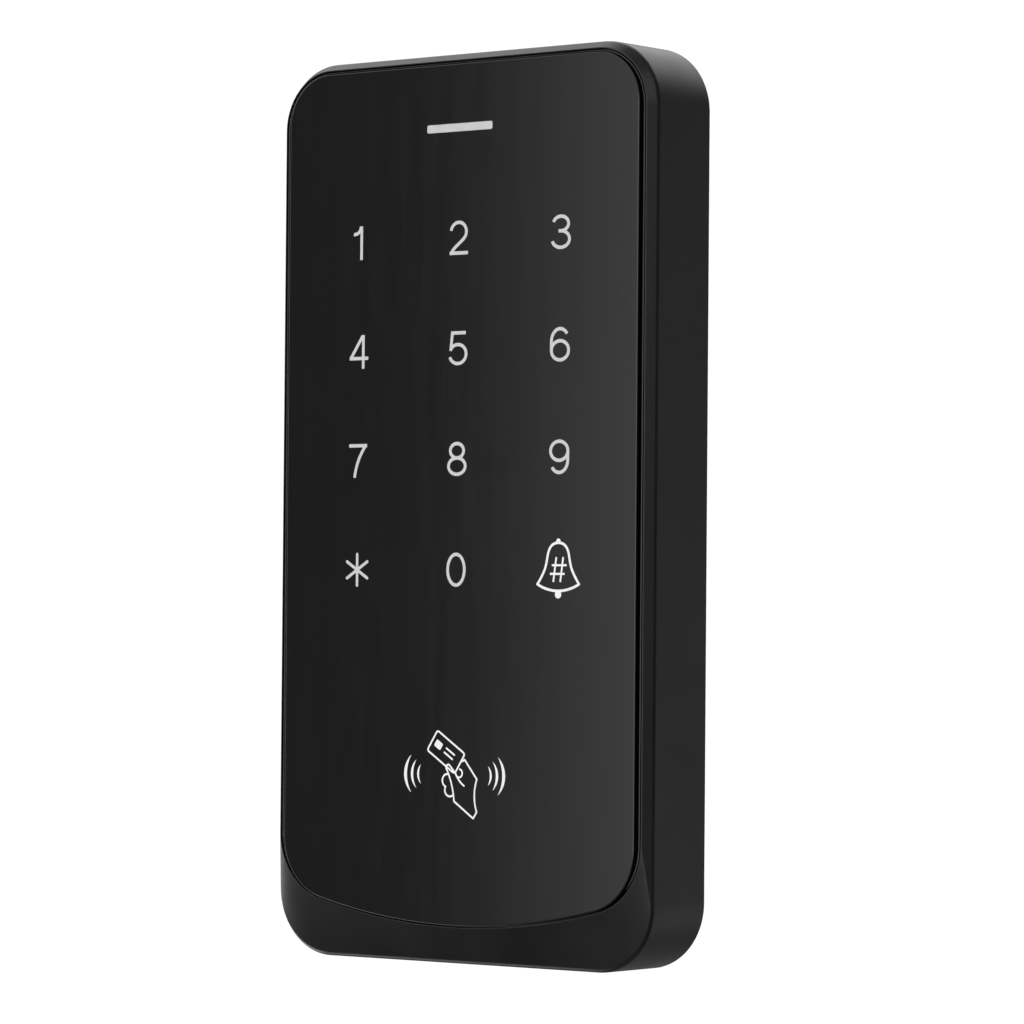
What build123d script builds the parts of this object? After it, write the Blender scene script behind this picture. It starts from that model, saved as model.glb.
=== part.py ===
"""A wall-mounted RFID card reader with a touch keypad.

Frame: +Z up, +X to the right as a user sees it, the keypad faces -Y and the wall is the plane
Y = 0. The origin is the centre of the face that rests on the wall. Millimetres. A "height" in
this file is a distance out from the wall, so it is minus Y, and every layer is a sketch on
Plane.XZ.offset(height).
"""

from build123d import *
import os
from math import asin, atan2, cos, degrees, radians, sin, sqrt

os.makedirs("parts", exist_ok=True)

# ---------------------------------------------------------------- driving dimensions
# Body outline, taken at the shoulder, where the side walls meet the rounded front
WIDTH = 75.8
HEIGHT = 145.4
CORNER_R = 10.5
SIDE_DRAFT = 0.75          # how far the back rim stands out past the shoulder, at each side
END_DRAFT = -0.1           # the same at the top and the bottom, where it stands in a little
RIM_CORNER_R = 10.7
SHOULDER_R = 1.35          # rounding between the side walls and the bevel
CHIN_ROUND_R = 0.8         # rounding between the bottom wall and the chin
CHIN_TURN = radians(76)    # how far that rounding turns
SHOULDER_STEPS = 4
LIP_FILLET = 0.12
RIM_FILLET = 0.4

# Layers, as heights out from the wall
PLATE_T = 1.2
RIM_H = 1.5                # back rim of the housing
COVER_EDGE_H = 2.9         # inner face of the rear cover's thin edge
COVER_H = 3.5              # inner face of the rear cover
BODY_DEPTH = 14.8
FRONT_H = RIM_H + BODY_DEPTH
PANEL_PROUD = 0.4          # the panel's face stands this far in front of the lip round it
LIP_H = FRONT_H - PANEL_PROUD
SHOULDER_H = 13.82         # where the side walls begin to round over
PANEL_T = 2.0
PANEL_BACK_H = FRONT_H - PANEL_T
SHEET_T = 0.2              # diffuser sheet
TAPE_T = 0.3
SEAT_H = PANEL_BACK_H - TAPE_T
SEAT_T = 2.0
BOARD_FRONT_H = SEAT_H - SEAT_T
BOARD_T = 1.6
BOARD_BACK_H = BOARD_FRONT_H - BOARD_T

# Front face: bevel, lip, groove, trim, gap and panel, from the outside in
BEVEL_W = 1.15
LIP_W = 0.12
GROOVE_W = 0.26
TRIM_W = 0.29
TRIM_SINK = 0.05
TRIM_FILLET = 0.09
TRIM_CLEARANCE = 0.2       # least room between the trim and the panel
TRIM_END = -59.5
GAP_W = 0.5
CHIN_GAP = 0.3             # gap between the panel's lower edge and the chin
PANEL_INSET = BEVEL_W + LIP_W + GROOVE_W + TRIM_W + GAP_W
PANEL_HALF_W = WIDTH / 2 - PANEL_INSET
PANEL_TOP = 70.83
PANEL_BOTTOM = -66.55
PANEL_ARC_R = 115.4        # radius of the panel's curved lower edge
PANEL_LOW_R = 10.0
PANEL_EDGE = 0.18          # rounding of the panel's front edge
LIP_HALF_W = WIDTH / 2 - BEVEL_W - LIP_W
LIP_TOP = HEIGHT / 2 - BEVEL_W - LIP_W
LIP_BOTTOM = PANEL_BOTTOM - CHIN_GAP
LIP_LOW_R = 11.0

# Keypad
COLUMNS = 3
ROWS = 4
PITCH_X = 20.5
PITCH_Z = 17.65
KEYS_Z = 16.5              # centre of the key grid
STATUS_Z = KEYS_Z + 2.5 * PITCH_Z
CARD_Z = -42.6
INK_T = 0.3
STROKE = 0.55
FINE_STROKE = 0.42
THIN_STROKE = 0.3

# Housing interior
CAVITY_HALF_W = 34.9
CAVITY_HALF_H = 69.5
CAVITY_R = 7.5
RECESS_HALF_W = 36.0       # pocket in the back that takes the rear cover
RECESS_HALF_H = 70.6
RECESS_R = 8.6
COVER_GAP = 0.2
SEAL_W = 1.0
WINDOW_HALF_W = 27.5
WINDOW_LOW = -58.0
WINDOW_HIGH = 66.0
WINDOW_R = 3.0

# Panel backing and backlight
TAPE_MARGIN = 0.5          # the tape keeps this far clear of the window behind it
FRAME_GAP = 0.2
STATUS_W = 13.3            # status window
STATUS_H = 1.3
STATUS_R = 0.3
WELL_W = 13.0              # light well behind each key
GUIDE_W = 14.6             # light guide behind the status window
GUIDE_H = 3.0
GUIDE_R = 0.5
GUIDE_GAP = 0.2
GUIDE_LIFT = 0.8           # room in front of the board for the status lights
ANTENNA_W = 46.0           # opening in the frame for the antenna coil
ANTENNA_H = 24.0

# Circuit board
BOARD_HALF_W = 31.0
BOARD_LOW = -61.0
BOARD_HIGH = 67.5
BOARD_CORNER = 2.0
BOARD_HOLE_R = 1.2
NOTCH_R = 3.5              # notches round the cover screws' bosses
PAD_T = 0.1
PAD_R = 5.6
PAD_HOLE_R = 2.2
LED_W = 1.6
LED_H = 0.8
LED_T = 0.6
LED_STEP = 4.4
COIL_TURNS = 6
COIL_STEP = 1.2
COIL_MARGIN = 1.2
COIL_TRACE = 0.7
COIL_T = 0.3

# Parts on the board's back
CHIP_LIFT = 0.1
LEAD_T = 0.15
LEAD_STEP = 1.27
LEAD_W = 0.45
LEAD_L = 1.2
DOT_PLACE = 0.34           # a chip's dot, as shares of the chip's size
DOT_SIZE = 0.06
RELAY_PLACE = (-17.0, -14.0)
RELAY_W = 20.0
RELAY_H = 10.0
RELAY_T = 5.5
RELAY_CORNER = 0.6
RELAY_EDGE = 0.5
BUZZER_PLACE = (-20.0, 8.0)
BUZZER_R = 6.0
BUZZER_T = 5.2
BUZZER_EDGE = 0.5
BUZZER_PORT_R = 1.1
BUZZER_PORT_DEPTH = 2.0
INDUCTOR_PLACE = (19.0, 4.0)
INDUCTOR_W = 7.0
INDUCTOR_T = 3.6
INDUCTOR_CORNER = 1.6
INDUCTOR_EDGE = 0.4
CAN_PLACES = [(20.0, 16.0), (20.0, 26.0)]
CAN_R = 3.1
CAN_T = 4.6
CAN_EDGE = 0.4
CAN_FOOT_W = 6.6
CAN_FOOT_T = 0.8
CERAMIC_W = 2.0
CERAMIC_H = 1.25
CERAMIC_T = 0.9
CERAMIC_STEP_X = 3.2
CERAMIC_STEP_Z = 3.0
CERAMIC_COLUMN = (24.5, -24.0)   # four beside the controller
CERAMIC_BLOCK = (-3.0, -46.0)    # six beside the reader chip
DIODE_Z = 50.0
DIODE_COUNT = 4
DIODE_STEP = 7.0
DIODE_W = 2.6
DIODE_H = 4.4
DIODE_T = 2.2
DIODE_EDGE = 0.3
REGULATOR_X = 8.0
REGULATOR_Z = -6.0
REGULATOR_W = 6.5
REGULATOR_H = 3.5
REGULATOR_T = 1.7
REGULATOR_LEG_T = 0.3
REGULATOR_TAB_W = 3.0
REGULATOR_TAB_H = 1.7
REGULATOR_TAB_Z = -3.4
REGULATOR_LEG_W = 0.7
REGULATOR_LEG_H = 1.5
REGULATOR_LEG_Z = -8.5
REGULATOR_LEG_COUNT = 3
REGULATOR_LEG_STEP = 2.3
CRYSTAL_PLACE = (21.0, -40.0)
CRYSTAL_W = 9.7
CRYSTAL_H = 3.2
CRYSTAL_T = 2.6
CRYSTAL_RIM = 0.4
CRYSTAL_RIM_T = 0.5
TERMINAL_COUNT = 8
TERMINAL_STEP = 3.81
TERMINAL_Z = 38.0
TERMINAL_W = TERMINAL_COUNT * TERMINAL_STEP
TERMINAL_H = 7.4
TERMINAL_T = 6.2
TERMINAL_EDGE = 0.8
TERMINAL_BORE_R = 1.5
TERMINAL_BORE_DEPTH = 3.0
TERMINAL_BACK_H = BOARD_BACK_H - TERMINAL_T
ENTRY_W = 2.4              # wire entries on the side that faces the cable gland
ENTRY_H = 2.2
ENTRY_DEPTH = 3.5
ENTRY_LIFT = 1.7           # from the board to the middle of an entry

# Fasteners
COVER_SCREW_X = 32.0
COVER_SCREW_Z = 58.0
BOSS_R = 3.0
PILOT_R = 1.0
SCREW_LENGTH = 6.5
SUNK_R = 2.3               # countersunk head
COVER_HOLE_R = 1.3
BOARD_SCREW_X = 29.0
BOARD_SCREW_Z = 45.0
BOARD_PILOT_R = 0.8
BOARD_PILOT_DEPTH = 1.6
BOARD_SCREW_GRIP = 1.4     # length of a board screw in the housing
BOARD_HEAD_R = 1.7
BOARD_HEAD_T = 1.1
BOARD_HEAD_EDGE = 0.4
CROSS_SHARE = 0.52         # span of a cross recess, as a share of the head's width
CROSS_W = 0.45
CROSS_DEPTH = 0.7
TERMINAL_SCREW_R = 1.45
TERMINAL_SCREW_L = 2.2
TERMINAL_SCREW_SINK = 0.8
SLOT_W = 0.5
SLOT_DEPTH = 0.6
SLOT_TURN = 35

# Hook that the reader hangs and tilts on
HINGE_H = 2.5
HINGE_Z = 66.0
NOSE_R = 1.0
HOOK_INNER_R = 1.05
HOOK_OUTER_R = HOOK_INNER_R + PLATE_T
HOOK_X = 18.0
HOOK_W = 12.0
HOOK_TIP = 1.5             # how far the hook's tip stands above the hinge axis
HOOK_SLOT_W = 13.0
HOOK_SLOT_DEPTH = 5.5

# Wall plate
PLATE_HALF_W = 30.0
PLATE_TOP = HINGE_Z - 0.2
PLATE_BOTTOM = -65.6
PLATE_R = 3.0
TAB_W = 14.0
TAB_REACH = 10.8
WALL_SLOT_X = 20.0
WALL_SLOT_Z = 45.0
WALL_SLOT_R = 2.25
WALL_SLOT_LENGTH = 8.0
BOX_HOLE_Z = 41.75
BOX_HOLE_R = 2.1
CABLE_Z = 22.0
CABLE_HOLE_W = 22.0
CABLE_HOLE_H = 26.0
CABLE_HOLE_CORNER = 4.0

# Locking screw under the chin
LOCK_H = 7.5
LOCK_SEAT_Z = -67.6
LOCK_BOSS_TOP = -66.1
LOCK_BOSS_R = 3.9
LOCK_HEAD_R = 2.75
LOCK_HEAD_HOLE_R = 3.05
LOCK_HEAD_T = 1.9
LOCK_HEAD_EDGE = 0.3
LOCK_SHANK_R = 1.47
LOCK_HOLE_R = 1.56         # in the wall plate's tab
LOCK_BOSS_HOLE_R = 1.65
LOCK_TRAVEL = 3.0
LOCK_SEAT_GAP = 0.05
LOCK_TIP_Z = -66.0
LOCK_TIP_EDGE = 0.3
LOCK_HEAD_TOP_Z = LOCK_SEAT_Z - LOCK_SEAT_GAP - LOCK_TRAVEL
DRIVE_R = 0.9              # six-lobed security socket
DRIVE_LOBES = 6
DRIVE_LOBE_R = 0.31
DRIVE_PIN_R = 0.27
DRIVE_DEPTH = 1.14

# Tamper switch
TAMPER_Z = -28.0
TAMPER_R = 1.5
TAMPER_COLLAR_R = 2.1
TAMPER_TIP_H = 0.05
TAMPER_TIP_EDGE = 0.5
TAMPER_HOLE_R = 3.0        # in the wall plate
PLUNGER_HOLE_R = 2.2       # in the rear cover
SWITCH_W = 8.0
SWITCH_CORNER = 0.6
SWITCH_TOP_H = 4.6
SWITCH_HOLE_R = 1.6
LID_T = 1.0
CHAMBER_R = 2.3
CHAMBER_FLOOR_H = 9.9
COLLAR_OUT_H = 6.65
COLLAR_IN_H = 7.4
SPRING_R = 1.5
SPRING_WIRE_R = 0.15
SPRING_TURNS = 4

# Rear cover and cable gland
TAB_SLOT_W = 15.2
TAB_SLOT_LOW = -66.4
TAB_SLOT_HIGH = -63.9
GROMMET_R = 4.5
GROMMET_FLANGE_R = 6.5
GROMMET_SINK = 1.0         # the outer flange lies flush in a pocket this deep
GROMMET_BARB = 0.6         # the inner flange is this much smaller
GROMMET_IN_T = 1.2
CABLE_BORE_R = 2.75


# ---------------------------------------------------------------- outlines
def shield(half_w, top, bottom, top_r, low_r, arc_r):
    """Return the outline shared by panel, trim and lip: round top corners, a long lower arc."""
    arc_z = bottom + arc_r
    side_z = arc_z - sqrt((arc_r - low_r) ** 2 - (half_w - low_r) ** 2)
    turn = atan2(side_z - arc_z, half_w - low_r)
    meet = (arc_r * cos(turn), arc_z + arc_r * sin(turn))
    corner = (half_w - low_r, side_z)
    sweep_angle = degrees(turn)
    with BuildSketch() as outline:
        with BuildLine():
            Line((top_r - half_w, top), (half_w - top_r, top))
            CenterArc((half_w - top_r, top - top_r), top_r, 90, -90)
            Line((half_w, top - top_r), (half_w, side_z))
            CenterArc(corner, low_r, 0, sweep_angle)
            ThreePointArc(meet, (0, bottom), (-meet[0], meet[1]))
            CenterArc((-corner[0], corner[1]), low_r, 180 - sweep_angle, sweep_angle)
            Line((-half_w, side_z), (-half_w, top - top_r))
            CenterArc((top_r - half_w, top - top_r), top_r, 180, -90)
        make_face()
    return outline.sketch


def panel_outline(grow=0.0):
    """Return the touch panel's outline, grown outwards all round."""
    return shield(PANEL_HALF_W + grow, PANEL_TOP + grow, PANEL_BOTTOM - grow,
                  CORNER_R - PANEL_INSET + grow, PANEL_LOW_R + grow, PANEL_ARC_R + grow)


def lip_outline(grow=0.0):
    """Return the outline of the panel's recess, inside the lip."""
    return shield(LIP_HALF_W + grow, LIP_TOP + grow, LIP_BOTTOM - grow,
                  CORNER_R - BEVEL_W - LIP_W + grow, LIP_LOW_R + grow, PANEL_ARC_R + CHIN_GAP + grow)


def body_outline(side=0.0, top=0.0, bottom=0.0, corner_r=CORNER_R):
    """Return the body's rounded rectangle, with the same eight edges as the shield outline."""
    x = WIDTH / 2 + side - corner_r
    upper = HEIGHT / 2 + top - corner_r
    lower = HEIGHT / 2 + bottom - corner_r
    with BuildSketch() as outline:
        with BuildLine():
            Line((-x, upper + corner_r), (x, upper + corner_r))
            CenterArc((x, upper), corner_r, 90, -90)
            Line((x + corner_r, upper), (x + corner_r, -lower))
            CenterArc((x, -lower), corner_r, 0, -90)
            Line((x, -lower - corner_r), (-x, -lower - corner_r))
            CenterArc((-x, -lower), corner_r, 270, -90)
            Line((-x - corner_r, -lower), (-x - corner_r, upper))
            CenterArc((-x, upper), corner_r, 180, -90)
        make_face()
    return outline.sketch


def shoulder(turn):
    """Return the height and outline of the rounded shoulder where its chin edge has turned this far."""
    rise = CHIN_ROUND_R * sin(turn)
    chin_inset = CHIN_ROUND_R * (1 - cos(turn))
    side_inset = SHOULDER_R * (1 - cos(asin(rise / SHOULDER_R)))
    outline = body_outline(-side_inset, -side_inset, -chin_inset, CORNER_R - side_inset)
    return SHOULDER_H + rise, outline


def key_places():
    """Return the centre of each key, left to right and top to bottom."""
    return [((column - (COLUMNS - 1) / 2) * PITCH_X, KEYS_Z + ((ROWS - 1) / 2 - row) * PITCH_Z)
            for row in range(ROWS) for column in range(COLUMNS)]


# ---------------------------------------------------------------- front housing
boss_places = [(x, z) for x in (-COVER_SCREW_X, COVER_SCREW_X)
               for z in (-COVER_SCREW_Z, COVER_SCREW_Z)]
board_screw_places = [(x, z) for x in (-BOARD_SCREW_X, BOARD_SCREW_X)
                      for z in (-BOARD_SCREW_Z, 0, BOARD_SCREW_Z)]
window_centre = (0, (WINDOW_HIGH + WINDOW_LOW) / 2)
window_h = WINDOW_HIGH - WINDOW_LOW

with BuildPart() as front_housing:
    # Side walls, slightly larger at the back rim
    with BuildSketch(Plane.XZ.offset(RIM_H)):
        add(body_outline(SIDE_DRAFT, END_DRAFT, END_DRAFT, RIM_CORNER_R))
    with BuildSketch(Plane.XZ.offset(SHOULDER_H)):
        add(body_outline())
    loft(ruled=True)
    # Shoulder, rounded over into the bevel and the chin
    for step in range(SHOULDER_STEPS + 1):
        height, outline = shoulder(CHIN_TURN * step / SHOULDER_STEPS)
        with BuildSketch(Plane.XZ.offset(height)):
            add(outline)
    loft()
    # Bevel round the sides and top, and the long sloping chin
    with BuildSketch(Plane.XZ.offset(height)):
        add(outline)
    with BuildSketch(Plane.XZ.offset(LIP_H)):
        add(lip_outline(LIP_W))
    loft(ruled=True)
    by_height = front_housing.edges().group_by(Axis.Y)
    fillet(by_height[0], LIP_FILLET)
    fillet(by_height[-1], RIM_FILLET)
    # Recess for the panel, with a seat behind it
    with BuildSketch(Plane.XZ.offset(LIP_H)):
        add(lip_outline())
    extrude(amount=SEAT_H - LIP_H, mode=Mode.SUBTRACT)
    # Window in the seat for the backlight frame
    with BuildSketch(Plane.XZ.offset(SEAT_H)):
        with Locations(window_centre):
            RectangleRounded(2 * WINDOW_HALF_W, window_h, WINDOW_R)
    extrude(amount=BOARD_FRONT_H - SEAT_H, mode=Mode.SUBTRACT)
    # Cavity for the electronics and the shallow pocket for the rear cover
    with BuildSketch(Plane.XZ.offset(BOARD_FRONT_H)):
        RectangleRounded(2 * CAVITY_HALF_W, 2 * CAVITY_HALF_H, CAVITY_R)
    extrude(amount=COVER_H - BOARD_FRONT_H, mode=Mode.SUBTRACT)
    with BuildSketch(Plane.XZ.offset(COVER_H)):
        RectangleRounded(2 * RECESS_HALF_W, 2 * RECESS_HALF_H, RECESS_R)
    extrude(amount=RIM_H - COVER_H, mode=Mode.SUBTRACT)
    # Bosses for the rear cover's screws
    with BuildSketch(Plane.XZ.offset(COVER_H)):
        with Locations(*boss_places):
            Circle(BOSS_R)
            Circle(PILOT_R, mode=Mode.SUBTRACT)
    extrude(amount=BOARD_FRONT_H - COVER_H)
    # Pilot holes for the circuit board's screws
    with BuildSketch(Plane.XZ.offset(BOARD_FRONT_H)):
        with Locations(*board_screw_places):
            Circle(BOARD_PILOT_R)
    extrude(amount=BOARD_PILOT_DEPTH, mode=Mode.SUBTRACT)
    # Upright boss for the locking screw, counterbored from below
    with BuildSketch(Plane.XY.offset(LOCK_BOSS_TOP)):
        with Locations((0, -LOCK_H)):
            Circle(LOCK_BOSS_R)
    extrude(amount=-CAVITY_HALF_H - LOCK_BOSS_TOP)
    with BuildSketch(Plane.XY.offset(LOCK_SEAT_Z)):
        with Locations((0, -LOCK_H)):
            Circle(LOCK_HEAD_HOLE_R)
    extrude(amount=-HEIGHT / 2 - LOCK_SEAT_Z - CORNER_R, mode=Mode.SUBTRACT)
    with BuildSketch(Plane.XY.offset(LOCK_BOSS_TOP)):
        with Locations((0, -LOCK_H)):
            Circle(LOCK_BOSS_HOLE_R)
    extrude(amount=LOCK_SEAT_Z - LOCK_BOSS_TOP, mode=Mode.SUBTRACT)
front_housing.part.label = "front_housing"
export_step(front_housing.part, "parts/front_housing.step")


# ---------------------------------------------------------------- trim round the panel
with BuildPart() as panel_trim:
    with BuildSketch(Plane.XZ.offset(SEAT_H)):
        add(lip_outline(-GROOVE_W))
        add(lip_outline(-GROOVE_W - TRIM_W), mode=Mode.SUBTRACT)
    extrude(amount=LIP_H - TRIM_SINK - SEAT_H)
    fillet(panel_trim.edges().group_by(Axis.Y)[0], TRIM_FILLET)
    # The trim narrows and ends where the panel comes close to the chin
    with BuildSketch(Plane.XZ.offset(SEAT_H)):
        add(panel_outline(TRIM_CLEARANCE))
        with Locations((0, TRIM_END)):
            Rectangle(WIDTH, HEIGHT, align=(Align.CENTER, Align.MAX))
    extrude(amount=LIP_H - SEAT_H, mode=Mode.SUBTRACT)
panel_trim.part.label = "panel_trim"
export_step(panel_trim.part, "parts/panel_trim.step")


# ---------------------------------------------------------------- printed legends
def ring(x_radius, z_radius, z=0.0):
    """Return an oval drawn with the digits' stroke, given its centre line."""
    half = STROKE / 2
    with BuildSketch() as glyph:
        with Locations((0, z)):
            Ellipse(x_radius + half, z_radius + half)
            Ellipse(x_radius - half, z_radius - half, mode=Mode.SUBTRACT)
    return glyph.sketch


def pen(width, *paths):
    """Return the strokes that a pen of this width leaves along some curves."""
    with BuildSketch() as glyph:
        for path in paths:
            trace(path, line_width=width)
    return glyph.sketch


def curve(*edges):
    """Return one path made of edges that meet end to end."""
    return Wire(edges)


def line(start, end):
    """Return a straight edge."""
    return Edge.make_line(start, end)


def bow(start, middle, end):
    """Return a round arc through three points."""
    return Edge.make_three_point_arc(start, middle, end)


def oval(x_radius, z_radius, z, start, turn):
    """Return part of an oval about (0, z): its start angle and its signed turn in degrees."""
    return EllipticalCenterArc((0, z), x_radius, z_radius, start_angle=start, arc_size=turn)


BASE = 2.45                # half the height of a digit's centre line
FOOT = BASE + STROKE / 2   # half the height of a digit with its square stroke ends
HALF_DIGIT = 1.7


def digit_one():
    """Return a 1 with a curved flag."""
    flag = bow((-1.3, 1.5), (-0.25, 1.75), (0.2, FOOT))
    return pen(STROKE, line((0.35, -FOOT), (0.35, FOOT)), flag)


def digit_two():
    """Return a 2 with a straight base."""
    head = oval(HALF_DIGIT - 0.15, 1.5, 0.95, 172, -172)
    body = Edge.make_spline([(HALF_DIGIT - 0.15, 0.95), (0.9, -0.3), (-0.55, -1.4), (-1.5, -BASE)],
                            tangents=[(0, -1), (-0.5, -1)])
    return pen(STROKE, curve(head, body), line((-1.83, -BASE), (HALF_DIGIT + 0.2, -BASE)))


def digit_three():
    """Return a 3 with round bowls."""
    upper = oval(1.5, 1.15, 1.3, 165, -255)
    lower = oval(HALF_DIGIT, 1.3, -1.15, 90, -258)
    return pen(STROKE, upper, lower, line((-0.45, 0.15), (0.1, 0.15)))


def digit_four():
    """Return an open-footed 4."""
    return pen(STROKE, line((0.9, -FOOT), (0.9, FOOT)), line((-1.95, -1.05), (1.95, -1.05)),
               line((0.78, 2.6), (-1.72, -1.05)))


def digit_five():
    """Return a 5 with a round bowl."""
    bowl = oval(HALF_DIGIT, 1.52, -0.93, 150, -312)
    return pen(STROKE, line((-1.35, BASE), (1.6, BASE)), line((-1.1, FOOT), (-1.45, -0.4)), bowl)


def digit_six():
    """Return a 6, which turned over is also the 9."""
    stem = curve(line((-HALF_DIGIT, -0.95), (-HALF_DIGIT, 0.5)),
                 oval(HALF_DIGIT, 1.95, 0.5, 180, -144))
    with BuildSketch() as glyph:
        add(pen(STROKE, stem))
        add(ring(HALF_DIGIT, 1.5, -0.95))
    return glyph.sketch


def digit_nine():
    """Return a 9."""
    with BuildSketch() as glyph:
        add(digit_six(), rotation=180)
    return glyph.sketch


def digit_seven():
    """Return a 7 with a slightly bowed leg."""
    leg = bow((1.6, BASE), (0.05, 0.0), (-0.7, -FOOT))
    return pen(STROKE, line((-1.9, BASE), (1.87, BASE)), leg)


def digit_eight():
    """Return an 8."""
    with BuildSketch() as glyph:
        add(ring(1.35, 1.15, 1.3))
        add(ring(HALF_DIGIT, 1.3, -1.15))
    return glyph.sketch


def digit_zero():
    """Return a 0."""
    return ring(HALF_DIGIT, BASE)


def star():
    """Return a six-armed star."""
    arm = 2.75
    with BuildSketch() as glyph:
        for turn in (32, 90, 148):
            SlotOverall(2 * arm, STROKE * 0.9, rotation=turn)
    return glyph.sketch


def bell():
    """Return a hand-bell outline with a hash inside, the key that also rings."""
    side = Edge.make_spline([(0, 4.2), (1.9, 2.9), (2.55, 0.3), (3.4, -1.3), (4.1, -2.3)],
                            tangents=[(1, 0), (0.6, -0.8)])
    other = Edge.make_spline([(0, 4.2), (-1.9, 2.9), (-2.55, 0.3), (-3.4, -1.3), (-4.1, -2.3)],
                             tangents=[(-1, 0), (-0.6, -0.8)])
    skirt = bow((4.1, -2.3), (0, -3.35), (-4.1, -2.3))
    lean = 0.28
    half_bar = 1.45
    half_post = 1.95
    spread = 0.68
    posts = [line((x - lean, -half_post), (x + lean, half_post)) for x in (-spread, spread)]
    bars = [line((z * lean - half_bar, z), (z * lean + half_bar, z)) for z in (-spread, spread)]
    with BuildSketch() as glyph:
        add(pen(FINE_STROKE, side, other, skirt))
        add(pen(THIN_STROKE * 1.1, *posts, *bars))
        with Locations((4.1, -2.3), (-4.1, -2.3)):
            Circle(FINE_STROKE / 2)
        with Locations((0, 4.45)):
            Circle(FINE_STROKE)
        with Locations((0, -3.9)):
            Circle(FINE_STROKE * 1.5)
    return glyph.sketch


def card_in_hand():
    """Return a card held in a hand, between two sets of radio waves."""
    card_w = 7.0
    card_h = 4.1
    tilt = -33
    with BuildSketch() as card:
        RectangleRounded(card_w, card_h, 0.55)
        RectangleRounded(card_w - 2 * THIN_STROKE, card_h - 2 * THIN_STROKE, 0.3,
                         mode=Mode.SUBTRACT)
        with Locations((-1.9, 0.1)):
            RectangleRounded(1.5, 1.2, 0.25)
        with Locations((0.7, 0.55), (0.7, -0.25)):
            SlotOverall(2.2, THIN_STROKE)
    wrist = [(0.0, -4.2), (3.9, -6.8), (4.6, -5.8)]
    knuckle = (4.6, -0.6)
    web = (0.3, 0.2)
    thumb_tip = (-1.0, 1.55)
    thumb_side = (-1.5, 0.8)
    finger_top = (-1.25, 0.1)
    finger_gap = (-1.75, -1.9)
    finger_end = (-0.2, -3.2)
    strokes = [line(wrist[0], wrist[1]), line(wrist[1], wrist[2]),
               bow(wrist[2], (4.1, -3.2), knuckle), line(knuckle, (2.1, 2.45)),
               line((2.1, 2.45), (1.5, 2.15)), line(web, thumb_tip),
               bow(thumb_tip, (-1.5, 1.5), thumb_side), bow(thumb_side, (-0.5, -1.6), wrist[0]),
               bow(web, (0.95, -0.8), (2.0, -1.7)),
               bow(finger_top, (-2.4, -0.8), finger_gap),
               bow(finger_gap, (-1.4, -3.3), finger_end), bow(web, (1.5, -0.1), (1.0, 0.95))]
    joints = [*wrist, knuckle, (2.1, 2.45), web, thumb_tip, thumb_side, finger_gap, finger_end,
              (2.0, -1.7), finger_top]
    with BuildSketch() as glyph:
        with Locations(Location((-1.7, 3.6), tilt)):
            add(card.sketch)
        add(pen(THIN_STROKE, *strokes))
        with Locations(*joints):
            Circle(THIN_STROKE / 2)
        for reach, half_span, thickness in ((10.3, 3.05, 0.6), (8.9, 2.3, 0.48), (7.6, 1.55, 0.4)):
            for side in (-1, 1):
                tip_x = side * (reach - 0.5 * half_span)
                with BuildLine():
                    ThreePointArc((tip_x, half_span), (side * reach, 0), (tip_x, -half_span))
                    ThreePointArc((tip_x, -half_span), (side * (reach - thickness), 0),
                                  (tip_x, half_span))
                make_face()
    return glyph.sketch


key_glyphs = [digit_one(), digit_two(), digit_three(), digit_four(), digit_five(), digit_six(),
              digit_seven(), digit_eight(), digit_nine(), star(), digit_zero()]

with BuildPart() as key_legends:
    with BuildSketch(Plane.XZ.offset(FRONT_H)):
        for glyph, place in zip(key_glyphs, key_places()):
            with Locations(place):
                add(glyph)
    extrude(amount=-INK_T)
key_legends.part.label = "key_legends"
export_step(key_legends.part, "parts/key_legends.step")

with BuildPart() as bell_legend:
    with BuildSketch(Plane.XZ.offset(FRONT_H)):
        with Locations(key_places()[-1]):
            add(bell())
    extrude(amount=-INK_T)
bell_legend.part.label = "bell_legend"
export_step(bell_legend.part, "parts/bell_legend.step")

with BuildPart() as card_legend:
    with BuildSketch(Plane.XZ.offset(FRONT_H)):
        with Locations((0, CARD_Z)):
            add(card_in_hand())
    extrude(amount=-INK_T)
card_legend.part.label = "card_legend"
export_step(card_legend.part, "parts/card_legend.step")


# ---------------------------------------------------------------- touch panel and its backing
with BuildPart() as touch_panel:
    with BuildSketch(Plane.XZ.offset(PANEL_BACK_H)):
        add(panel_outline())
    extrude(amount=PANEL_T)
    fillet(touch_panel.edges().group_by(Axis.Y)[0], PANEL_EDGE)
    with BuildSketch(Plane.XZ.offset(PANEL_BACK_H)):
        with Locations((0, STATUS_Z)):
            RectangleRounded(STATUS_W, STATUS_H, STATUS_R)
    extrude(amount=PANEL_T, mode=Mode.SUBTRACT)
    add(key_legends.part, mode=Mode.SUBTRACT)
    add(bell_legend.part, mode=Mode.SUBTRACT)
    add(card_legend.part, mode=Mode.SUBTRACT)
touch_panel.part.label = "touch_panel"
export_step(touch_panel.part, "parts/touch_panel.step")

with BuildPart() as status_window:
    with BuildSketch(Plane.XZ.offset(PANEL_BACK_H)):
        with Locations((0, STATUS_Z)):
            RectangleRounded(STATUS_W, STATUS_H, STATUS_R)
    extrude(amount=PANEL_T)
status_window.part.label = "status_window"
export_step(status_window.part, "parts/status_window.step")

with BuildPart() as panel_tape:
    with BuildSketch(Plane.XZ.offset(SEAT_H)):
        add(panel_outline(-TAPE_T))
        with Locations(window_centre):
            RectangleRounded(2 * (WINDOW_HALF_W + TAPE_MARGIN), window_h + 2 * TAPE_MARGIN, WINDOW_R,
                             mode=Mode.SUBTRACT)
    extrude(amount=TAPE_T)
panel_tape.part.label = "panel_tape"
export_step(panel_tape.part, "parts/panel_tape.step")

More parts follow.
